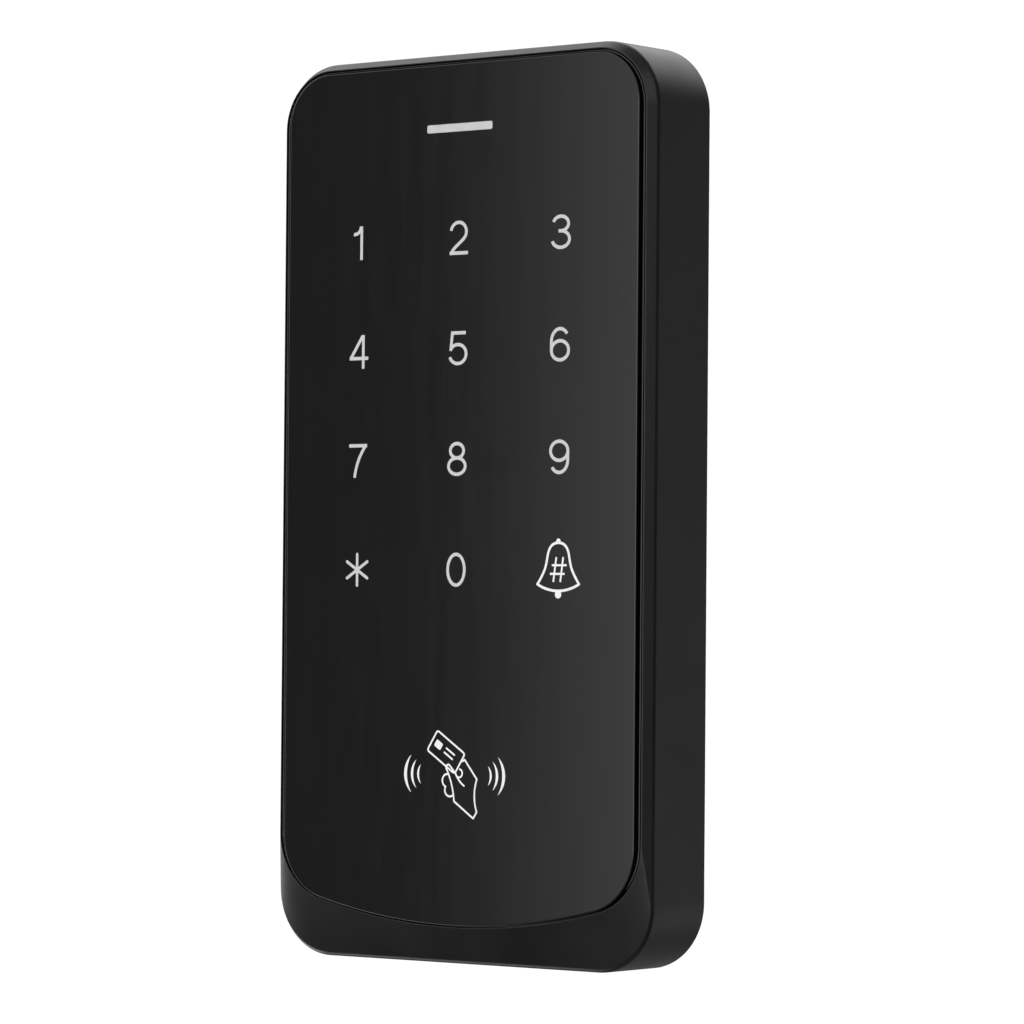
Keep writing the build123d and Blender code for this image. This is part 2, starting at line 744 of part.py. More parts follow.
frame_w = 2 * (WINDOW_HALF_W - FRAME_GAP)
frame_h = window_h - 2 * FRAME_GAP

with BuildPart() as diffuser_sheet:
    with BuildSketch(Plane.XZ.offset(PANEL_BACK_H - SHEET_T)):
        with Locations(window_centre):
            RectangleRounded(frame_w, frame_h, WINDOW_R)
    extrude(amount=SHEET_T)
diffuser_sheet.part.label = "diffuser_sheet"
export_step(diffuser_sheet.part, "parts/diffuser_sheet.step")

# ---------------------------------------------------------------- backlight
with BuildPart() as backlight_frame:
    with BuildSketch(Plane.XZ.offset(BOARD_FRONT_H)):
        with Locations(window_centre):
            RectangleRounded(frame_w, frame_h, WINDOW_R)
        with Locations(*key_places()):
            RectangleRounded(WELL_W, WELL_W, WINDOW_R, mode=Mode.SUBTRACT)
        with Locations((0, STATUS_Z)):
            RectangleRounded(GUIDE_W + 2 * GUIDE_GAP, GUIDE_H + 2 * GUIDE_GAP, GUIDE_R,
                             mode=Mode.SUBTRACT)
        with Locations((0, CARD_Z)):
            RectangleRounded(ANTENNA_W, ANTENNA_H, WINDOW_R, mode=Mode.SUBTRACT)
    extrude(amount=PANEL_BACK_H - SHEET_T - BOARD_FRONT_H)
backlight_frame.part.label = "backlight_frame"
export_step(backlight_frame.part, "parts/backlight_frame.step")

with BuildPart() as status_light_guide:
    with BuildSketch(Plane.XZ.offset(BOARD_FRONT_H + GUIDE_LIFT)):
        with Locations((0, STATUS_Z)):
            RectangleRounded(GUIDE_W, GUIDE_H, GUIDE_R)
    extrude(amount=PANEL_BACK_H - SHEET_T - BOARD_FRONT_H - GUIDE_LIFT)
status_light_guide.part.label = "status_light_guide"
export_step(status_light_guide.part, "parts/status_light_guide.step")

# ---------------------------------------------------------------- circuit board
with BuildPart() as main_board:
    with BuildSketch(Plane.XZ.offset(BOARD_BACK_H)):
        with Locations((0, (BOARD_HIGH + BOARD_LOW) / 2)):
            RectangleRounded(2 * BOARD_HALF_W, BOARD_HIGH - BOARD_LOW, BOARD_CORNER)
        with Locations(*boss_places):
            Circle(NOTCH_R, mode=Mode.SUBTRACT)
        with Locations(*board_screw_places):
            Circle(BOARD_HOLE_R, mode=Mode.SUBTRACT)
    extrude(amount=BOARD_T)
main_board.part.label = "main_board"
export_step(main_board.part, "parts/main_board.step")

with BuildPart() as touch_pads:
    with BuildSketch(Plane.XZ.offset(BOARD_FRONT_H)):
        with Locations(*key_places()):
            Circle(PAD_R)
            Circle(PAD_HOLE_R, mode=Mode.SUBTRACT)
    extrude(amount=PAD_T)
touch_pads.part.label = "touch_pads"
export_step(touch_pads.part, "parts/touch_pads.step")

with BuildPart() as key_leds:
    with BuildSketch(Plane.XZ.offset(BOARD_FRONT_H)):
        with Locations(*key_places()):
            Rectangle(LED_W, LED_H)
    extrude(amount=LED_T)
key_leds.part.label = "key_leds"
export_step(key_leds.part, "parts/key_leds.step")

with BuildPart() as status_leds:
    with BuildSketch(Plane.XZ.offset(BOARD_FRONT_H)):
        with Locations((0, STATUS_Z)):
            with GridLocations(LED_STEP, 0, 3, 1):
                Rectangle(LED_W, LED_H)
    extrude(amount=LED_T)
status_leds.part.label = "status_leds"
export_step(status_leds.part, "parts/status_leds.step")


def coil_points():
    """Return the corners of a rectangular spiral, from the outside in."""
    points = []
    for turn in range(COIL_TURNS):
        x = ANTENNA_W / 2 - COIL_MARGIN - turn * COIL_STEP
        z = ANTENNA_H / 2 - COIL_MARGIN - turn * COIL_STEP
        start_z = z if turn == 0 else z + COIL_STEP
        points += [(-x, start_z), (-x, -z), (x, -z), (x, z)]
    return points


with BuildPart() as antenna_coil:
    with BuildSketch(Plane.XZ.offset(BOARD_FRONT_H)):
        with Locations((0, CARD_Z)):
            corners = coil_points()
            add(pen(COIL_TRACE, curve(*[line(a, b) for a, b in zip(corners, corners[1:])])))
    extrude(amount=COIL_T)
antenna_coil.part.label = "antenna_coil"
export_step(antenna_coil.part, "parts/antenna_coil.step")

# ---------------------------------------------------------------- parts on the board's back
chips = [
    # name, x, z, size, thickness, leads on each side
    ("controller_chip", 15.0, -24.0, 9.0, 1.4, 6),
    ("touch_chip", -13.0, -36.0, 7.0, 1.2, 4),
    ("reader_chip", 9.0, -46.0, 6.0, 1.0, 3),
]

for chip_name, chip_x, chip_z, chip_size, chip_t, lead_count in chips:
    with BuildPart() as chip:
        with BuildSketch(Plane.XZ.offset(BOARD_BACK_H - CHIP_LIFT)):
            with Locations((chip_x, chip_z)):
                Rectangle(chip_size, chip_size)
        extrude(amount=-chip_t)
        chamfer(chip.edges().group_by(Axis.Y)[-1], LEAD_T)
        with BuildSketch(Plane.XZ.offset(BOARD_BACK_H - CHIP_LIFT - chip_t)):
            with Locations((chip_x - chip_size * DOT_PLACE, chip_z + chip_size * DOT_PLACE)):
                Circle(chip_size * DOT_SIZE)
        extrude(amount=LEAD_T, mode=Mode.SUBTRACT)
    chip.part.label = chip_name
    export_step(chip.part, f"parts/{chip_name}.step")

with BuildPart() as chip_leads:
    for chip_name, chip_x, chip_z, chip_size, chip_t, lead_count in chips:
        reach = (chip_size + LEAD_L) / 2
        with BuildSketch(Plane.XZ.offset(BOARD_BACK_H)):
            with Locations((chip_x, chip_z)):
                with GridLocations(2 * reach, LEAD_STEP, 2, lead_count):
                    Rectangle(LEAD_L, LEAD_W)
                with GridLocations(LEAD_STEP, 2 * reach, lead_count, 2):
                    Rectangle(LEAD_W, LEAD_L)
        extrude(amount=-LEAD_T)
chip_leads.part.label = "chip_leads"
export_step(chip_leads.part, "parts/chip_leads.step")

with BuildPart() as relay:
    with BuildSketch(Plane.XZ.offset(BOARD_BACK_H)):
        with Locations(RELAY_PLACE):
            RectangleRounded(RELAY_W, RELAY_H, RELAY_CORNER)
    extrude(amount=-RELAY_T)
    chamfer(relay.edges().group_by(Axis.Y)[-1], RELAY_EDGE)
relay.part.label = "relay"
export_step(relay.part, "parts/relay.step")

with BuildPart() as buzzer:
    with BuildSketch(Plane.XZ.offset(BOARD_BACK_H)):
        with Locations(BUZZER_PLACE):
            Circle(BUZZER_R)
    extrude(amount=-BUZZER_T)
    fillet(buzzer.edges().group_by(Axis.Y)[-1], BUZZER_EDGE)
    with BuildSketch(Plane.XZ.offset(BOARD_BACK_H - BUZZER_T)):
        with Locations(BUZZER_PLACE):
            Circle(BUZZER_PORT_R)
    extrude(amount=BUZZER_PORT_DEPTH, mode=Mode.SUBTRACT)
buzzer.part.label = "buzzer"
export_step(buzzer.part, "parts/buzzer.step")

with BuildPart() as power_inductor:
    with BuildSketch(Plane.XZ.offset(BOARD_BACK_H)):
        with Locations(INDUCTOR_PLACE):
            RectangleRounded(INDUCTOR_W, INDUCTOR_W, INDUCTOR_CORNER)
    extrude(amount=-INDUCTOR_T)
    chamfer(power_inductor.edges().group_by(Axis.Y)[-1], INDUCTOR_EDGE)
power_inductor.part.label = "power_inductor"
export_step(power_inductor.part, "parts/power_inductor.step")

with BuildPart() as electrolytic_capacitors:
    with BuildSketch(Plane.XZ.offset(BOARD_BACK_H)):
        with Locations(*CAN_PLACES):
            Rectangle(CAN_FOOT_W, CAN_FOOT_W)
    extrude(amount=-CAN_FOOT_T)
    with BuildSketch(Plane.XZ.offset(BOARD_BACK_H - CAN_FOOT_T)):
        with Locations(*CAN_PLACES):
            Circle(CAN_R)
    extrude(amount=-CAN_T)
    fillet(electrolytic_capacitors.edges().group_by(Axis.Y)[-1], CAN_EDGE)
electrolytic_capacitors.part.label = "electrolytic_capacitors"
export_step(electrolytic_capacitors.part, "parts/electrolytic_capacitors.step")

with BuildPart() as ceramic_capacitors:
    with BuildSketch(Plane.XZ.offset(BOARD_BACK_H)):
        with Locations(CERAMIC_COLUMN):
            with GridLocations(0, CERAMIC_STEP_Z, 1, 4):
                Rectangle(CERAMIC_W, CERAMIC_H)
        with Locations(CERAMIC_BLOCK):
            with GridLocations(CERAMIC_STEP_X, CERAMIC_STEP_Z, 2, 3):
                Rectangle(CERAMIC_W, CERAMIC_H)
    extrude(amount=-CERAMIC_T)
ceramic_capacitors.part.label = "ceramic_capacitors"
export_step(ceramic_capacitors.part, "parts/ceramic_capacitors.step")

with BuildPart() as protection_diodes:
    with BuildSketch(Plane.XZ.offset(BOARD_BACK_H)):
        with Locations((0, DIODE_Z)):
            with GridLocations(DIODE_STEP, 0, DIODE_COUNT, 1):
                Rectangle(DIODE_W, DIODE_H)
    extrude(amount=-DIODE_T)
    chamfer(protection_diodes.edges().group_by(Axis.Y)[-1], DIODE_EDGE)
protection_diodes.part.label = "protection_diodes"
export_step(protection_diodes.part, "parts/protection_diodes.step")

with BuildPart() as voltage_regulator:
    with BuildSketch(Plane.XZ.offset(BOARD_BACK_H)):
        with Locations((REGULATOR_X, REGULATOR_Z)):
            Rectangle(REGULATOR_W, REGULATOR_H)
    extrude(amount=-REGULATOR_T)
    with BuildSketch(Plane.XZ.offset(BOARD_BACK_H)):
        with Locations((REGULATOR_X, REGULATOR_TAB_Z)):
            Rectangle(REGULATOR_TAB_W, REGULATOR_TAB_H)
        with Locations((REGULATOR_X, REGULATOR_LEG_Z)):
            with GridLocations(REGULATOR_LEG_STEP, 0, REGULATOR_LEG_COUNT, 1):
                Rectangle(REGULATOR_LEG_W, REGULATOR_LEG_H)
    extrude(amount=-REGULATOR_LEG_T)
voltage_regulator.part.label = "voltage_regulator"
export_step(voltage_regulator.part, "parts/voltage_regulator.step")

with BuildPart() as crystal:
    with BuildSketch(Plane.XZ.offset(BOARD_BACK_H)):
        with Locations(CRYSTAL_PLACE):
            SlotOverall(CRYSTAL_W + 2 * CRYSTAL_RIM, CRYSTAL_H + 2 * CRYSTAL_RIM)
    extrude(amount=-CRYSTAL_RIM_T)
    with BuildSketch(Plane.XZ.offset(BOARD_BACK_H - CRYSTAL_RIM_T)):
        with Locations(CRYSTAL_PLACE):
            SlotOverall(CRYSTAL_W, CRYSTAL_H)
    extrude(amount=-CRYSTAL_T)
    fillet(crystal.edges().group_by(Axis.Y)[-1], CRYSTAL_RIM)
crystal.part.label = "crystal"
export_step(crystal.part, "parts/crystal.step")

# ---------------------------------------------------------------- wiring terminals
with BuildPart() as terminal_block:
    with BuildSketch(Plane.XZ.offset(BOARD_BACK_H)):
        with Locations((0, TERMINAL_Z)):
            Rectangle(TERMINAL_W, TERMINAL_H)
    extrude(amount=-TERMINAL_T)
    chamfer(terminal_block.edges().filter_by(Axis.X).group_by(Axis.Y)[-1], TERMINAL_EDGE)
    with BuildSketch(Plane.XZ.offset(TERMINAL_BACK_H)):
        with Locations((0, TERMINAL_Z)):
            with GridLocations(TERMINAL_STEP, 0, TERMINAL_COUNT, 1):
                Circle(TERMINAL_BORE_R)
    extrude(amount=TERMINAL_BORE_DEPTH, mode=Mode.SUBTRACT)
    with BuildSketch(Plane.XY.offset(TERMINAL_Z - TERMINAL_H / 2)):
        with Locations((0, ENTRY_LIFT - BOARD_BACK_H)):
            with GridLocations(TERMINAL_STEP, 0, TERMINAL_COUNT, 1):
                Rectangle(ENTRY_W, ENTRY_H)
    extrude(amount=ENTRY_DEPTH, mode=Mode.SUBTRACT)
terminal_block.part.label = "terminal_block"
export_step(terminal_block.part, "parts/terminal_block.step")

with BuildPart() as terminal_screws:
    with BuildSketch(Plane.XZ.offset(TERMINAL_BACK_H + TERMINAL_SCREW_SINK)):
        with Locations((0, TERMINAL_Z)):
            with GridLocations(TERMINAL_STEP, 0, TERMINAL_COUNT, 1):
                Circle(TERMINAL_SCREW_R)
    extrude(amount=TERMINAL_SCREW_L)
    with BuildSketch(Plane.XZ.offset(TERMINAL_BACK_H + TERMINAL_SCREW_SINK)):
        with Locations((0, TERMINAL_Z)):
            with GridLocations(TERMINAL_STEP, 0, TERMINAL_COUNT, 1):
                Rectangle(2 * TERMINAL_BORE_R, SLOT_W, rotation=SLOT_TURN)
    extrude(amount=SLOT_DEPTH, mode=Mode.SUBTRACT)
terminal_screws.part.label = "terminal_screws"
export_step(terminal_screws.part, "parts/terminal_screws.step")


# ---------------------------------------------------------------- board screws
def cross(head_r):
    """Return the outline of a cross recess for a head of this radius."""
    span = 2 * head_r * CROSS_SHARE
    with BuildSketch() as recess:
        Rectangle(span, CROSS_W)
        Rectangle(CROSS_W, span)
    return recess.sketch


with BuildPart() as board_screws:
    with BuildSketch(Plane.XZ.offset(BOARD_BACK_H)):
        with Locations(*board_screw_places):
            Circle(BOARD_HEAD_R)
    extrude(amount=-BOARD_HEAD_T)
    fillet(board_screws.edges().group_by(Axis.Y)[-1], BOARD_HEAD_EDGE)
    with BuildSketch(Plane.XZ.offset(BOARD_BACK_H)):
        with Locations(*board_screw_places):
            Circle(BOARD_PILOT_R)
    extrude(amount=BOARD_T + BOARD_SCREW_GRIP)
    with BuildSketch(Plane.XZ.offset(BOARD_BACK_H - BOARD_HEAD_T)):
        with Locations(*board_screw_places):
            add(cross(BOARD_HEAD_R))
    extrude(amount=CROSS_DEPTH, mode=Mode.SUBTRACT)
board_screws.part.label = "board_screws"
export_step(board_screws.part, "parts/board_screws.step")

# ---------------------------------------------------------------- rear cover
with BuildPart() as rear_cover:
    with BuildSketch(Plane.XZ.offset(RIM_H)):
        RectangleRounded(2 * (RECESS_HALF_W - COVER_GAP), 2 * (RECESS_HALF_H - COVER_GAP),
                         RECESS_R - COVER_GAP)
    extrude(amount=COVER_EDGE_H - RIM_H)
    with BuildSketch(Plane.XZ.offset(COVER_EDGE_H)):
        RectangleRounded(2 * (RECESS_HALF_W - COVER_GAP - SEAL_W),
                         2 * (RECESS_HALF_H - COVER_GAP - SEAL_W),
                         RECESS_R - COVER_GAP - SEAL_W)
    extrude(amount=COVER_H - COVER_EDGE_H)
    # Slots that the wall plate's hooks reach through, each with a rounded bar to hang on
    with BuildSketch(Plane.XZ.offset(RIM_H)):
        with Locations((0, HINGE_Z - HOOK_SLOT_DEPTH / 2)):
            with GridLocations(2 * HOOK_X, 0, 2, 1):
                Rectangle(HOOK_SLOT_W, HOOK_SLOT_DEPTH)
        with Locations((0, (TAB_SLOT_LOW + TAB_SLOT_HIGH) / 2)):
            Rectangle(TAB_SLOT_W, TAB_SLOT_HIGH - TAB_SLOT_LOW)
        with Locations((0, CABLE_Z)):
            Circle(GROMMET_R)
        with Locations((0, TAMPER_Z)):
            Circle(PLUNGER_HOLE_R)
        with Locations(*boss_places):
            Circle(COVER_HOLE_R)
    extrude(amount=COVER_H - RIM_H, mode=Mode.SUBTRACT)
    with BuildSketch(Plane.XZ.offset(RIM_H)):
        with Locations((0, CABLE_Z)):
            Circle(GROMMET_FLANGE_R)
    extrude(amount=GROMMET_SINK, mode=Mode.SUBTRACT)
    for hook_x in (-HOOK_X, HOOK_X):
        with BuildSketch(Plane.YZ.offset(hook_x - HOOK_SLOT_W / 2)):
            with Locations((-HINGE_H, HINGE_Z)):
                Circle(NOSE_R)
        extrude(amount=HOOK_SLOT_W)
    # Countersinks for the cover screws
    for place in boss_places:
        with BuildSketch(Plane.XZ.offset(RIM_H)):
            with Locations(place):
                Circle(SUNK_R)
        with BuildSketch(Plane.XZ.offset(RIM_H + SUNK_R - COVER_HOLE_R)):
            with Locations(place):
                Circle(COVER_HOLE_R)
        loft(mode=Mode.SUBTRACT)
rear_cover.part.label = "rear_cover"
export_step(rear_cover.part, "parts/rear_cover.step")

with BuildPart() as housing_seal:
    with BuildSketch(Plane.XZ.offset(COVER_EDGE_H)):
        RectangleRounded(2 * (RECESS_HALF_W - COVER_GAP), 2 * (RECESS_HALF_H - COVER_GAP),
                         RECESS_R - COVER_GAP)
        RectangleRounded(2 * (RECESS_HALF_W - COVER_GAP - SEAL_W),
                         2 * (RECESS_HALF_H - COVER_GAP - SEAL_W),
                         RECESS_R - COVER_GAP - SEAL_W, mode=Mode.SUBTRACT)
    extrude(amount=COVER_H - COVER_EDGE_H)
housing_seal.part.label = "housing_seal"
export_step(housing_seal.part, "parts/housing_seal.step")

with BuildPart() as rear_cover_screws:
    for place in boss_places:
        with BuildSketch(Plane.XZ.offset(RIM_H)):
            with Locations(place):
                Circle(SUNK_R)
        with BuildSketch(Plane.XZ.offset(RIM_H + SUNK_R - PILOT_R)):
            with Locations(place):
                Circle(PILOT_R)
        loft()
    with BuildSketch(Plane.XZ.offset(RIM_H + SUNK_R - PILOT_R)):
        with Locations(*boss_places):
            Circle(PILOT_R)
    extrude(amount=SCREW_LENGTH - SUNK_R + PILOT_R)
    with BuildSketch(Plane.XZ.offset(RIM_H)):
        with Locations(*boss_places):
            add(cross(SUNK_R))
    extrude(amount=CROSS_DEPTH, mode=Mode.SUBTRACT)
rear_cover_screws.part.label = "rear_cover_screws"
export_step(rear_cover_screws.part, "parts/rear_cover_screws.step")

# ---------------------------------------------------------------- cable gland
with BuildPart() as cable_grommet:
    with BuildSketch(Plane.YZ):
        with BuildLine():
            Polyline((-RIM_H, CABLE_Z + CABLE_BORE_R),
                     (-RIM_H, CABLE_Z + GROMMET_FLANGE_R),
                     (-RIM_H - GROMMET_SINK, CABLE_Z + GROMMET_FLANGE_R),
                     (-RIM_H - GROMMET_SINK, CABLE_Z + GROMMET_R),
                     (-COVER_H, CABLE_Z + GROMMET_R),
                     (-COVER_H, CABLE_Z + GROMMET_FLANGE_R - GROMMET_BARB),
                     (-COVER_H - GROMMET_IN_T, CABLE_Z + GROMMET_R),
                     (-COVER_H - GROMMET_IN_T, CABLE_Z + CABLE_BORE_R), close=True)
        make_face()
    revolve(axis=Axis((0, 0, CABLE_Z), (0, 1, 0)))
cable_grommet.part.label = "cable_grommet"
export_step(cable_grommet.part, "parts/cable_grommet.step")

# ---------------------------------------------------------------- tamper switch
with BuildPart() as tamper_switch:
    with BuildSketch(Plane.XZ.offset(BOARD_BACK_H)):
        with Locations((0, TAMPER_Z)):
            RectangleRounded(SWITCH_W, SWITCH_W, SWITCH_CORNER)
    extrude(amount=SWITCH_TOP_H - BOARD_BACK_H)
    with BuildSketch(Plane.XZ.offset(SWITCH_TOP_H + LID_T)):
        with Locations((0, TAMPER_Z)):
            Circle(CHAMBER_R)
    extrude(amount=CHAMBER_FLOOR_H - SWITCH_TOP_H - LID_T, mode=Mode.SUBTRACT)
    with BuildSketch(Plane.XZ.offset(SWITCH_TOP_H)):
        with Locations((0, TAMPER_Z)):
            Circle(SWITCH_HOLE_R)
    extrude(amount=LID_T, mode=Mode.SUBTRACT)
tamper_switch.part.label = "tamper_switch"
export_step(tamper_switch.part, "parts/tamper_switch.step")

with BuildPart() as tamper_plunger:
    with BuildSketch(Plane.XZ.offset(TAMPER_TIP_H)):
        with Locations((0, TAMPER_Z)):
            Circle(TAMPER_R)
    extrude(amount=COLLAR_IN_H - TAMPER_TIP_H)
    fillet(tamper_plunger.edges().group_by(Axis.Y)[-1], TAMPER_TIP_EDGE)
    with BuildSketch(Plane.XZ.offset(COLLAR_OUT_H)):
        with Locations((0, TAMPER_Z)):
            Circle(TAMPER_COLLAR_R)
    extrude(amount=COLLAR_IN_H - COLLAR_OUT_H)
tamper_plunger.part.label = "tamper_plunger"
export_step(tamper_plunger.part, "parts/tamper_plunger.step")

spring_length = CHAMBER_FLOOR_H - COLLAR_IN_H - 2 * SPRING_WIRE_R

with BuildPart() as tamper_spring:
    with BuildLine() as spring_path:
        Helix(spring_length / SPRING_TURNS, spring_length, SPRING_R,
              center=(0, -COLLAR_IN_H - SPRING_WIRE_R, TAMPER_Z), direction=(0, -1, 0))
    with BuildSketch(spring_path.line ^ 0):
        Circle(SPRING_WIRE_R)
    sweep(is_frenet=True)
tamper_spring.part.label = "tamper_spring"
export_step(tamper_spring.part, "parts/tamper_spring.step")

# ---------------------------------------------------------------- locking screw
with BuildPart() as lock_screw:
    with BuildSketch(Plane.XY.offset(LOCK_HEAD_TOP_Z - LOCK_HEAD_T)):
        with Locations((0, -LOCK_H)):
            Circle(LOCK_HEAD_R)
    extrude(amount=LOCK_HEAD_T)
    fillet(lock_screw.edges().group_by(Axis.Z)[0], LOCK_HEAD_EDGE)
    with BuildSketch(Plane.XY.offset(LOCK_HEAD_TOP_Z)):
        with Locations((0, -LOCK_H)):
            Circle(LOCK_SHANK_R)
    extrude(amount=LOCK_TIP_Z - LOCK_HEAD_TOP_Z)
    chamfer(lock_screw.edges().group_by(Axis.Z)[-1], LOCK_TIP_EDGE)
    # Six-lobed security socket with a pin in its middle
    with BuildSketch(Plane.XY.offset(LOCK_HEAD_TOP_Z - LOCK_HEAD_T)):
        with Locations((0, -LOCK_H)):
            Circle(DRIVE_R)
            with PolarLocations(DRIVE_R, DRIVE_LOBES):
                Circle(DRIVE_LOBE_R)
            Circle(DRIVE_PIN_R, mode=Mode.SUBTRACT)
    extrude(amount=DRIVE_DEPTH, mode=Mode.SUBTRACT)
lock_screw.part.label = "lock_screw"
export_step(lock_screw.part, "parts/lock_screw.step")

# ---------------------------------------------------------------- wall plate
with BuildPart() as wall_plate:
    with BuildSketch(Plane.XZ):
        with Locations((0, (PLATE_TOP + PLATE_BOTTOM) / 2)):
            RectangleRounded(2 * PLATE_HALF_W, PLATE_TOP - PLATE_BOTTOM, PLATE_R)
    extrude(amount=PLATE_T)
    # Hooks bent out of the top edge
    for hook_x in (-HOOK_X, HOOK_X):
        with BuildSketch(Plane.YZ.offset(hook_x - HOOK_W / 2)):
            with Locations((-HINGE_H, HINGE_Z)):
                Circle(HOOK_OUTER_R)
                Circle(HOOK_INNER_R, mode=Mode.SUBTRACT)
            with Locations((-HINGE_H, HINGE_Z)):
                Rectangle(2 * HOOK_OUTER_R, 2 * HOOK_OUTER_R, align=(Align.CENTER, Align.MIN),
                          mode=Mode.SUBTRACT)
            with Locations((-HINGE_H + HOOK_INNER_R, PLATE_TOP)):
                Rectangle(2 * PLATE_T, PLATE_T, align=(Align.CENTER, Align.MIN),
                          mode=Mode.SUBTRACT)
            with Locations((-HINGE_H - HOOK_OUTER_R, HINGE_Z)):
                Rectangle(PLATE_T, HOOK_TIP, align=(Align.MIN, Align.MIN))
        extrude(amount=HOOK_W)
    # Tab folded out of the bottom edge, with the locking screw's hole
    with BuildSketch(Plane.XY.offset(PLATE_BOTTOM)):
        with Locations((0, -TAB_REACH / 2)):
            Rectangle(TAB_W, TAB_REACH)
        with Locations((0, -LOCK_H)):
            Circle(LOCK_HOLE_R, mode=Mode.SUBTRACT)
    extrude(amount=PLATE_T)
    # Openings: cable, wall screws, box screws and tamper plunger
    with BuildSketch(Plane.XZ):
        with Locations((0, CABLE_Z)):
            RectangleRounded(CABLE_HOLE_W, CABLE_HOLE_H, CABLE_HOLE_CORNER)
        with GridLocations(2 * WALL_SLOT_X, 2 * WALL_SLOT_Z, 2, 2):
            SlotOverall(WALL_SLOT_LENGTH, 2 * WALL_SLOT_R)
        with GridLocations(0, 2 * BOX_HOLE_Z, 1, 2):
            Circle(BOX_HOLE_R)
        with Locations((0, TAMPER_Z)):
            Circle(TAMPER_HOLE_R)
    extrude(amount=PLATE_T, mode=Mode.SUBTRACT)
wall_plate.part.label = "wall_plate"
export_step(wall_plate.part, "parts/wall_plate.step")
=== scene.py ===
from math import cos, pi, radians, sin

import bmesh
import bpy
from mathutils import Matrix, Vector


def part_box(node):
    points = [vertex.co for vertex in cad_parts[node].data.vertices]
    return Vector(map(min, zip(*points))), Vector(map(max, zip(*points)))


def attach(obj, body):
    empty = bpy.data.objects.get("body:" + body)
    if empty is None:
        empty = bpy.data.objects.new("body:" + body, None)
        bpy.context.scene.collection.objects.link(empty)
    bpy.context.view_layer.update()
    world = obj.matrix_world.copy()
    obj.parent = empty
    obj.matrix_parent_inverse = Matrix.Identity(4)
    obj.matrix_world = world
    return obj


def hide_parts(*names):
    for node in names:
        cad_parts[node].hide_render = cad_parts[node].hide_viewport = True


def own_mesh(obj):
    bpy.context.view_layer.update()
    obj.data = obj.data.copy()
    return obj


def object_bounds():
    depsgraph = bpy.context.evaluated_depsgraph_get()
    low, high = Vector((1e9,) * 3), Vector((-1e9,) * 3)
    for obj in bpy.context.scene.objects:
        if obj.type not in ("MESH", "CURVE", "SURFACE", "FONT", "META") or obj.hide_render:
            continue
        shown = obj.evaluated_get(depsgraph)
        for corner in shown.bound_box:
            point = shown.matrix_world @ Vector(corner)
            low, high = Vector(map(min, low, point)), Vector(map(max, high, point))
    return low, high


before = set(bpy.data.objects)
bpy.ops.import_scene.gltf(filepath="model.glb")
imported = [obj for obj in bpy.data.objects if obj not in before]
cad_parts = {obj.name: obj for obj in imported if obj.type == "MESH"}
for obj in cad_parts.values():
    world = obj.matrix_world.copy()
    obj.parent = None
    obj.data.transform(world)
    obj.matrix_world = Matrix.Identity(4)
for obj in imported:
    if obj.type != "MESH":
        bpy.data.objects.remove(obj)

CAD_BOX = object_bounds()
MM = 0.001
PLASTIC_IOR = 1.5
ACRYLIC_IOR = 1.49


# ---------------------------------------------------------------- camera

CAMERA_TURN = radians(38.0)
CAMERA_RISE = radians(1.424)
CAMERA_ROLL = radians(0.469)
CAMERA_AWAY = 0.7454
CAMERA_LENS = 163.26
CAMERA_CLIP = (0.02, 20.0)
FRAME_SHIFT = Vector((-0.004165, 0.0, 0.0006))


def make_camera():
    """A long lens, to the reader's right and just below its middle, as in the photograph."""
    turned = (
        Matrix.Rotation(CAMERA_TURN, 3, "Z")
        @ Matrix.Rotation(CAMERA_RISE, 3, "X")
        @ Matrix.Rotation(-CAMERA_ROLL, 3, "Y")
    )
    low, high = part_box("front_housing")
    middle = (low + high) / 2
    middle.x = middle.z = 0.0
    data = bpy.data.cameras.new("camera")
    data.lens = CAMERA_LENS
    data.clip_start, data.clip_end = CAMERA_CLIP
    camera = bpy.data.objects.new("camera", data)
    place = middle - turned @ (FRAME_SHIFT + Vector((0.0, CAMERA_AWAY, 0.0)))
    pose = (turned @ Matrix.Rotation(pi / 2, 3, "X")).to_4x4()
    pose.translation = place
    camera.matrix_world = pose
    bpy.context.scene.collection.objects.link(camera)
    bpy.context.scene.camera = camera


# ---------------------------------------------------------------- node helpers

# A Mix node has its sockets for every kind of data at once; these are the ones for colours.
MIX_AMOUNT, MIX_FIRST, MIX_SECOND, MIX_COLOUR = 0, 6, 7, 2
BEVEL_SAMPLES = 4
# The cosine between the face's own normal and the rounded one: the edge colour (wear, and on the
# black plastics a painted highlight) below the first, the face's own colour above the second.
EDGE_TURN = (0.80, 0.995)


def add_node(tree, kind, inputs=None, **settings):
    """A shader node with its settings. Each input is a value or another node's socket."""
    node = tree.nodes.new("ShaderNode" + kind)
    for name, value in settings.items():
        setattr(node, name, value)
    for name, value in (inputs or {}).items():
        if isinstance(value, bpy.types.NodeSocket):
            tree.links.new(value, node.inputs[name])
        else:
            node.inputs[name].default_value = value
    return node


def grey(value):
    return (value, value, value, 1.0)


def rgb(red, green, blue):
    return (red, green, blue, 1.0)


def noise(tree, size, detail=2.0, stretch=(1.0, 1.0, 1.0)):
    """Noise whose features are about size metres across, drawn out by stretch along each axis."""
    where = add_node(tree, "TexCoord").outputs["Object"]
    scale = tuple(1.0 / (size * s) for s in stretch)
    scaled = add_node(tree, "Mapping", {"Vector": where, "Scale": scale})
    inputs = {"Vector": scaled.outputs["Vector"], "Scale": 1.0, "Detail": detail}
    return add_node(tree, "TexNoise", inputs).outputs["Fac"]


def cells(tree, size):
    """Cells about size metres across: the node gives each one's Distance and its Color."""
    where = add_node(tree, "TexCoord").outputs["Object"]
    made = add_node(tree, "TexVoronoi", {"Vector": where, "Scale": 1.0 / size})
    return made


